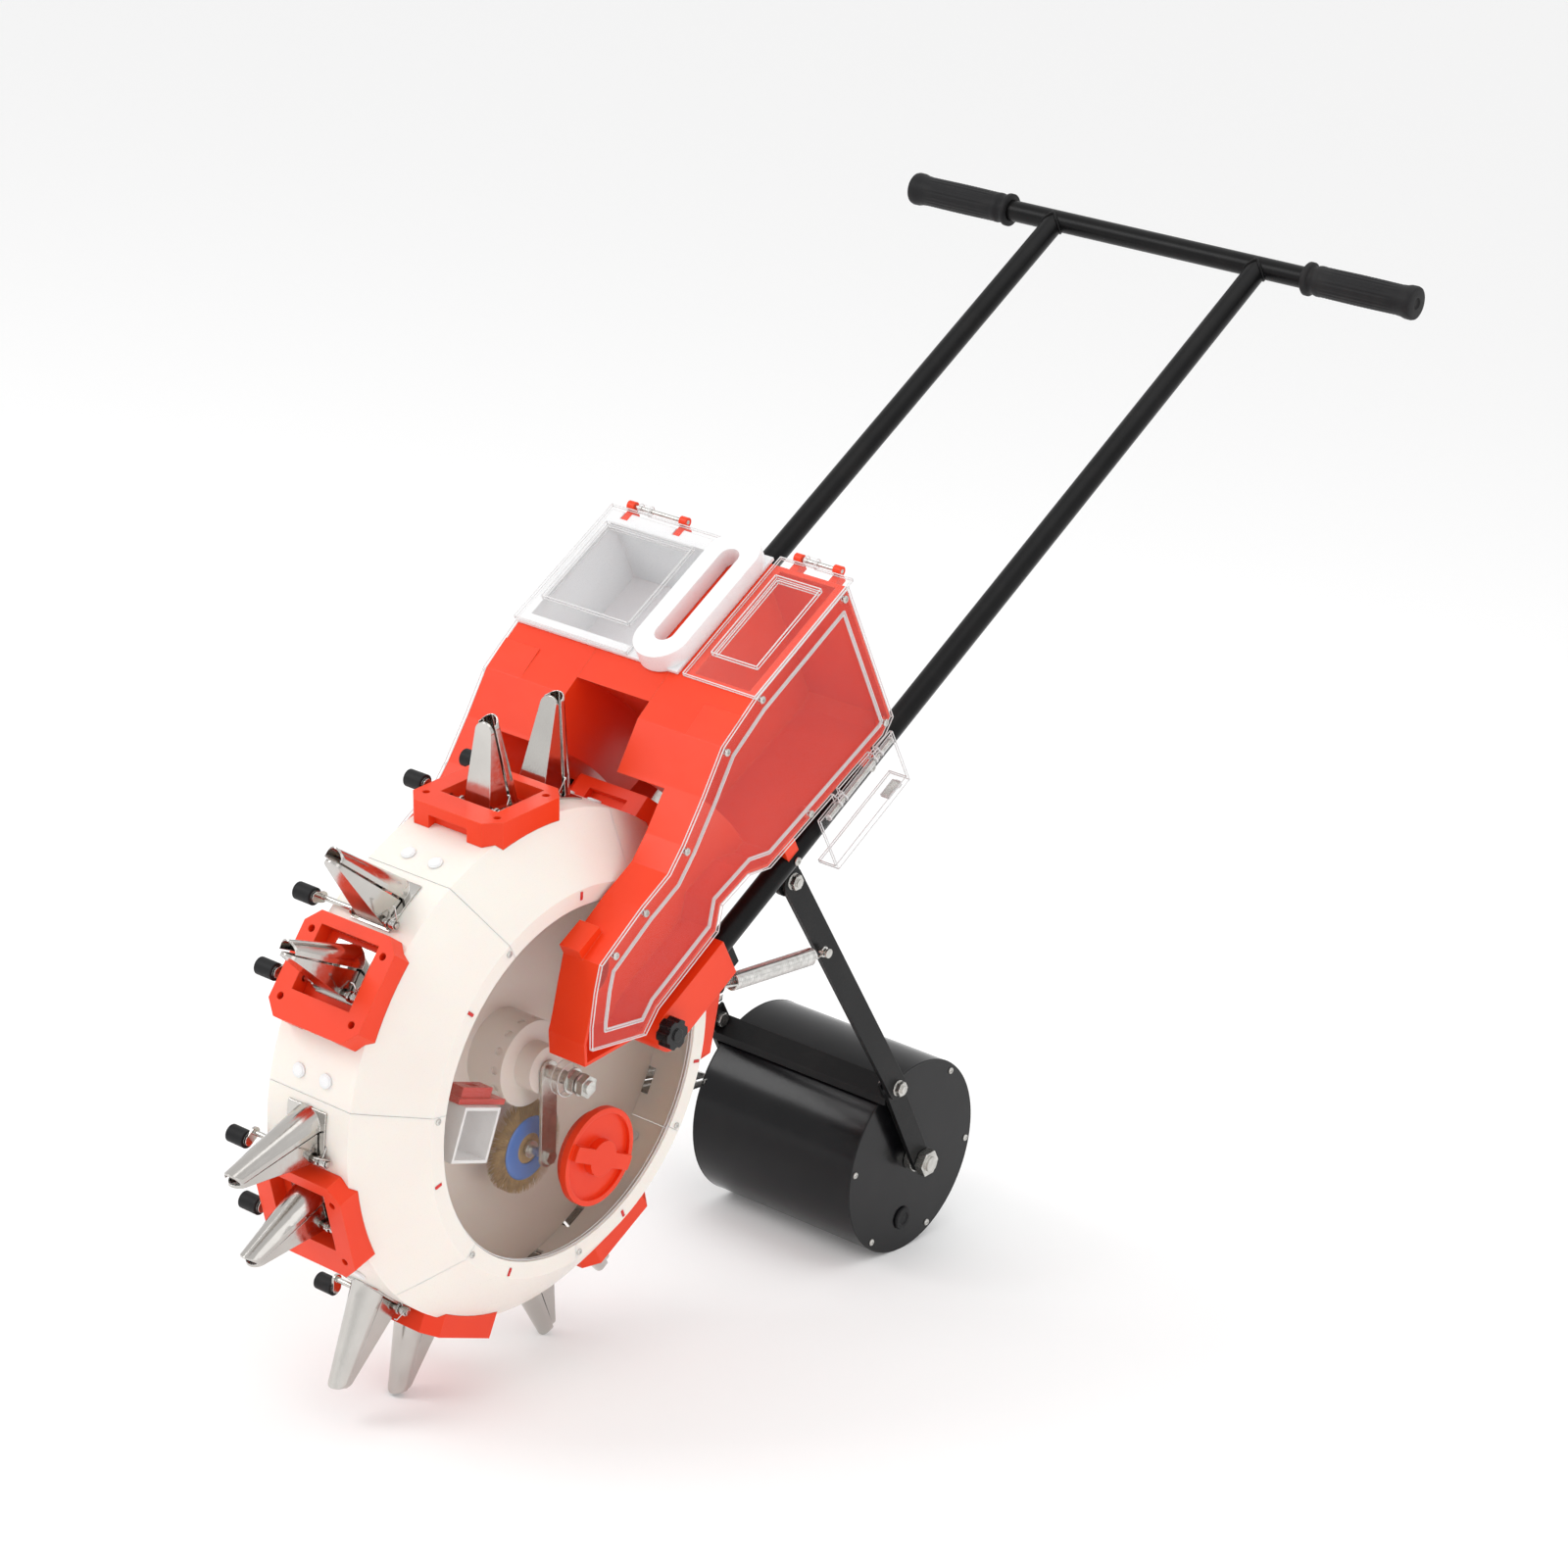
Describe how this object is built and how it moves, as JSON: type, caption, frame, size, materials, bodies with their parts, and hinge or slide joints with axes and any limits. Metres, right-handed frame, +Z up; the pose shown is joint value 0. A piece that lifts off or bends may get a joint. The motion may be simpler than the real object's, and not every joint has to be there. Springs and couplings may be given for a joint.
{
  "type": "hand-push duckbill seeder and fertiliser",
  "caption": "Hand-pushed dibble-wheel planter: a clear-sided drum ringed with duckbill mouths, straddled by twin hoppers, followed by a sprung press roller on a T handle.",
  "frame": {"origin": "on the ground, in the middle of the length and on the middle plane", "axes": "+Z up, -Y forward travel, +Y towards the operator, +X the side with the fertiliser hopper"},
  "size_m": [0.606, 1.2568, 0.9912],
  "materials": {
    "black_steel": "satin powder coat",
    "roller_black": "gloss paint",
    "rubber": "moulded, matt",
    "knob_black": "moulded",
    "zinc": "zinc plated",
    "spring_steel": "bright plated wire",
    "orange_plastic": "satin moulding",
    "red_plastic": "satin moulding",
    "cream_plastic": "translucent moulding",
    "white_plastic": "translucent moulding",
    "clear_plastic": "clear, polished",
    "stainless": "polished pressing",
    "bristle": "stiff bristles"
  },
  "bodies": {
    "frame": {"handle_tube_right": "black_steel", "handle_tube_left": "black_steel", "handle_crossbar": "black_steel", "grip_right": "rubber", "grip_left": "rubber", "drum_axle": "zinc", "axle_nuts": "zinc", "hopper_right": "orange_plastic", "hopper_left": "orange_plastic", "hopper_bridge": "orange_plastic", "seed_container": "white_plastic", "side_cover_right": "clear_plastic", "side_cover_left": "clear_plastic", "tube_bracket_right": "orange_plastic", "tube_bracket_left": "orange_plastic", "side_window_right": "clear_plastic", "side_window_left": "clear_plastic", "feed_box": "white_plastic", "brush_hanger": "zinc", "hinge_pins": "zinc", "frame_screws": "zinc", "arm_lugs": "black_steel"},
    "drum": {"drum_segments": "cream_plastic", "drum_hub": "cream_plastic", "saddle_blocks": "orange_plastic", "mouth_beaks": "stainless", "mouth_springs": "spring_steel", "drum_plugs": "white_plastic", "segment_screws": "zinc"},
    "brush": {"brush_wheel": "bristle"},
    "cap": {"drain_cap": "orange_plastic"},
    "slider": {"rate_slider": "red_plastic"},
    "lid_r": {"lid_right": "clear_plastic"},
    "lid_l": {"lid_left": "clear_plastic"},
    "door_r": {"door_right": "clear_plastic"},
    "door_l": {"door_left": "clear_plastic"},
    "knob_r": {"knob_right": "knob_black"},
    "knob_l": {"knob_left": "knob_black"},
    "roller_arm": {"arm_struts": "black_steel", "arm_links": "black_steel", "scraper": "black_steel", "tension_springs": "spring_steel", "arm_bolts": "zinc", "roller_axle": "zinc"},
    "roller": {"press_roller": "roller_black", "roller_screws": "zinc"},
    "mouth_bare_1": {"flap_bare_1": "stainless"},
    "mouth_bare_2": {"flap_bare_2": "stainless"},
    "mouth_bare_3": {"flap_bare_3": "stainless"},
    "mouth_bare_4": {"flap_bare_4": "stainless"},
    "mouth_bare_5": {"flap_bare_5": "stainless"},
    "mouth_bare_6": {"flap_bare_6": "stainless"},
    "mouth_bare_7": {"flap_bare_7": "stainless"},
    "mouth_seed_1": {"flap_seed_1": "stainless"},
    "mouth_seed_2": {"flap_seed_2": "stainless"},
    "mouth_seed_3": {"flap_seed_3": "stainless"},
    "mouth_seed_4": {"flap_seed_4": "stainless"},
    "mouth_seed_5": {"flap_seed_5": "stainless"},
    "mouth_seed_6": {"flap_seed_6": "stainless"},
    "mouth_seed_7": {"flap_seed_7": "stainless"}
  },
  "joints": [
    {"name": "drum_spin", "type": "hinge", "parent": "frame", "child": "drum", "pos_m": [0, -0.30203, 0.31034], "axis": [1, 0, 0], "continuous": true},
    {"name": "brush_spin", "type": "hinge", "parent": "frame", "child": "brush", "pos_m": [0.0345, -0.29174, 0.22657], "axis": [1, 0, 0], "continuous": true},
    {"name": "cap_turn", "type": "hinge", "parent": "frame", "child": "cap", "pos_m": [0.094, -0.26033, 0.22924], "axis": [-1, 0, 0], "range_deg": [0, 45]},
    {"name": "rate_slide", "type": "slide", "parent": "frame", "child": "slider", "axis": [0, -0.9703, 0.2419], "range_m": [0, 0.014]},
    {"name": "lid_r_hinge", "type": "hinge", "parent": "frame", "child": "lid_r", "pos_m": [0.095, -0.03938, 0.74505], "axis": [-1, 0, 0], "range_deg": [0, 110]},
    {"name": "lid_l_hinge", "type": "hinge", "parent": "frame", "child": "lid_l", "pos_m": [-0.095, -0.04138, 0.7478], "axis": [-1, 0, 0], "range_deg": [0, 110]},
    {"name": "door_r_hinge", "type": "hinge", "parent": "frame", "child": "door_r", "pos_m": [0.1433, 0.00085, 0.55017], "axis": [0, -0.809, -0.5878], "range_deg": [0, 100]},
    {"name": "door_l_hinge", "type": "hinge", "parent": "frame", "child": "door_l", "pos_m": [-0.1433, 0.00085, 0.55017], "axis": [0, 0.809, 0.5878], "range_deg": [0, 100]},
    {"name": "knob_r_turn", "type": "hinge", "parent": "frame", "child": "knob_r", "pos_m": [0.144, -0.23731, 0.35737], "axis": [1, 0, 0], "range_deg": [0, 360]},
    {"name": "knob_l_turn", "type": "hinge", "parent": "frame", "child": "knob_l", "pos_m": [-0.144, -0.23731, 0.35737], "axis": [-1, 0, 0], "range_deg": [0, 360]},
    {"name": "roller_arm_pivot", "type": "hinge", "parent": "frame", "child": "roller_arm", "pos_m": [0.115, -0.04713, 0.45289], "axis": [1, 0, 0], "range_deg": [0, 12], "stiffness_Nm_per_rad": 120, "springref_deg": -14.32, "deforming": ["tension_springs"]},
    {"name": "roller_spin", "type": "hinge", "parent": "roller_arm", "child": "roller", "pos_m": [0, 0.23634, 0.101], "axis": [1, 0, 0], "continuous": true},
    {"name": "mouth_bare_1_open", "type": "hinge", "parent": "drum", "child": "mouth_bare_1", "pos_m": [0, -0.48079, 0.4725], "axis": [1, 0, 0], "range_deg": [0, 16], "stiffness_Nm_per_rad": 1.2, "springref_deg": -20.05},
    {"name": "mouth_bare_2_open", "type": "hinge", "parent": "drum", "child": "mouth_bare_2", "pos_m": [0, -0.54026, 0.27168], "axis": [1, 0, 0], "range_deg": [0, 16], "stiffness_Nm_per_rad": 1.2, "springref_deg": -20.05},
    {"name": "mouth_bare_3_open", "type": "hinge", "parent": "drum", "child": "mouth_bare_3", "pos_m": [0, -0.42034, 0.09998], "axis": [1, 0, 0], "range_deg": [0, 16], "stiffness_Nm_per_rad": 1.2, "springref_deg": -20.05},
    {"name": "mouth_bare_4_open", "type": "hinge", "parent": "drum", "child": "mouth_bare_4", "pos_m": [0, -0.21133, 0.08669], "axis": [1, 0, 0], "range_deg": [0, 16], "stiffness_Nm_per_rad": 1.2, "springref_deg": -20.05},
    {"name": "mouth_bare_5_open", "type": "hinge", "parent": "drum", "child": "mouth_bare_5", "pos_m": [0, -0.07061, 0.24181], "axis": [1, 0, 0], "range_deg": [0, 16], "stiffness_Nm_per_rad": 1.2, "springref_deg": -20.05},
    {"name": "mouth_bare_6_open", "type": "hinge", "parent": "drum", "child": "mouth_bare_6", "pos_m": [0, -0.10416, 0.44854], "axis": [1, 0, 0], "range_deg": [0, 16], "stiffness_Nm_per_rad": 1.2, "springref_deg": -20.05},
    {"name": "mouth_bare_7_open", "type": "hinge", "parent": "drum", "child": "mouth_bare_7", "pos_m": [0, -0.28671, 0.55121], "axis": [1, 0, 0], "range_deg": [0, 16], "stiffness_Nm_per_rad": 1.2, "springref_deg": -20.05},
    {"name": "mouth_seed_1_open", "type": "hinge", "parent": "drum", "child": "mouth_seed_1", "pos_m": [0, -0.51988, 0.41515], "axis": [1, 0, 0], "range_deg": [0, 16], "stiffness_Nm_per_rad": 1.2, "springref_deg": -20.05},
    {"name": "mouth_seed_2_open", "type": "hinge", "parent": "drum", "child": "mouth_seed_2", "pos_m": [0, -0.51979, 0.20537], "axis": [1, 0, 0], "range_deg": [0, 16], "stiffness_Nm_per_rad": 1.2, "springref_deg": -20.05},
    {"name": "mouth_seed_3_open", "type": "hinge", "parent": "drum", "child": "mouth_seed_3", "pos_m": [0, -0.35573, 0.07464], "axis": [1, 0, 0], "range_deg": [0, 16], "stiffness_Nm_per_rad": 1.2, "springref_deg": -20.05},
    {"name": "mouth_seed_4_open", "type": "hinge", "parent": "drum", "child": "mouth_seed_4", "pos_m": [0, -0.15122, 0.1214], "axis": [1, 0, 0], "range_deg": [0, 16], "stiffness_Nm_per_rad": 1.2, "springref_deg": -20.05},
    {"name": "mouth_seed_5_open", "type": "hinge", "parent": "drum", "child": "mouth_seed_5", "pos_m": [0, -0.06028, 0.31044], "axis": [1, 0, 0], "range_deg": [0, 16], "stiffness_Nm_per_rad": 1.2, "springref_deg": -20.05},
    {"name": "mouth_seed_6_open", "type": "hinge", "parent": "drum", "child": "mouth_seed_6", "pos_m": [0, -0.15138, 0.49941], "axis": [1, 0, 0], "range_deg": [0, 16], "stiffness_Nm_per_rad": 1.2, "springref_deg": -20.05},
    {"name": "mouth_seed_7_open", "type": "hinge", "parent": "drum", "child": "mouth_seed_7", "pos_m": [0, -0.35592, 0.54601], "axis": [1, 0, 0], "range_deg": [0, 16], "stiffness_Nm_per_rad": 1.2, "springref_deg": -20.05}
  ],
  "couplings": [
    {"joint": "brush_spin", "follows": "drum_spin", "ratio": -0.90909}
  ]
}
